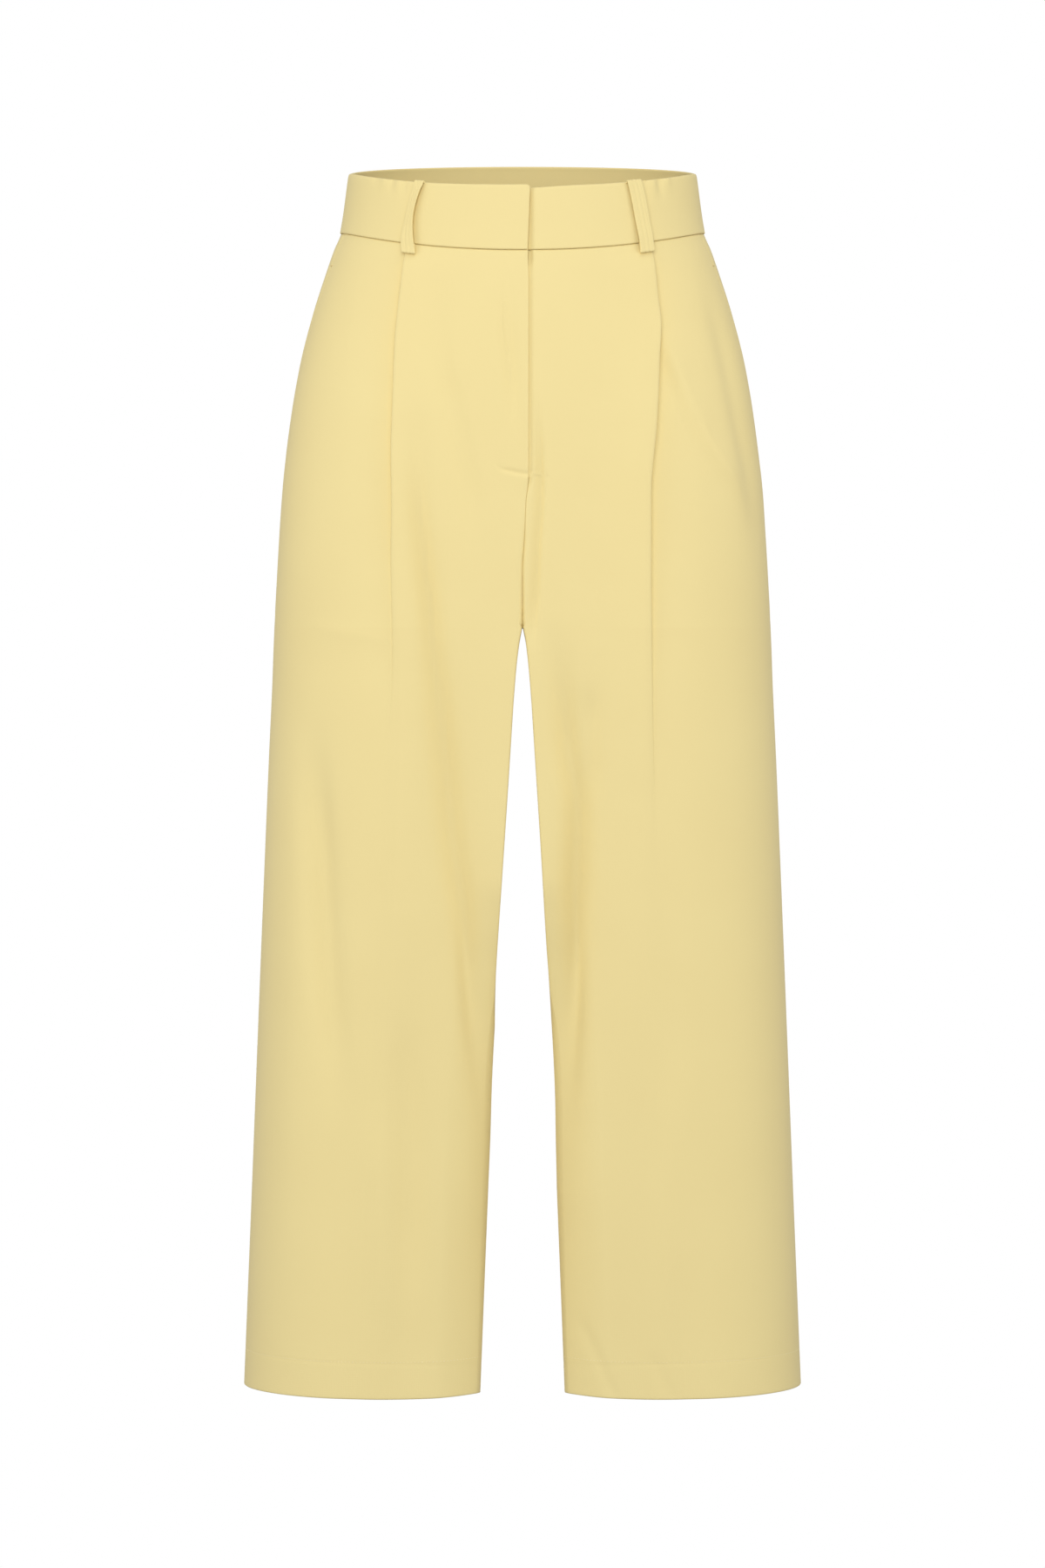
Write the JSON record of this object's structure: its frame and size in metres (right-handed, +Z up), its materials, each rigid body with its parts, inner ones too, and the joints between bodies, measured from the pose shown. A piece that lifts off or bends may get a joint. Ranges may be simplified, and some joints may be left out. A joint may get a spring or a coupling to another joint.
{
  "type": "culottes",
  "caption": "Wide-leg cropped culottes held open as if filled out: pleated fronts, banded waist with belt loops, side pockets, a lapped zip fly and open hems.",
  "frame": {"origin": "centre of the waist opening, level with the waistband's top edge at the side seams", "axes": "+Z up, out of the waist opening; -Y the front; +X the wearer's left"},
  "size_m": [0.4222, 0.2431, 0.9383],
  "materials": {
    "cloth": "matte",
    "waistband": "matte",
    "pocket": "matte",
    "belt_loop": "matte",
    "tape": "matte"
  },
  "bodies": {
    "root": {"front_right": "cloth", "front_left": "cloth", "back_right": "cloth", "back_left": "cloth", "waistband_front_right": "waistband", "waistband_front_left": "waistband", "waistband_back": "waistband", "pocket_right": "pocket", "pocket_left": "pocket", "zip": "tape", "belt_loop_front_right": "belt_loop", "belt_loop_front_left": "belt_loop", "belt_loop_back_right": "belt_loop", "belt_loop_back_left": "belt_loop", "belt_loop_back_centre": "belt_loop"}
  },
  "joints": []
}
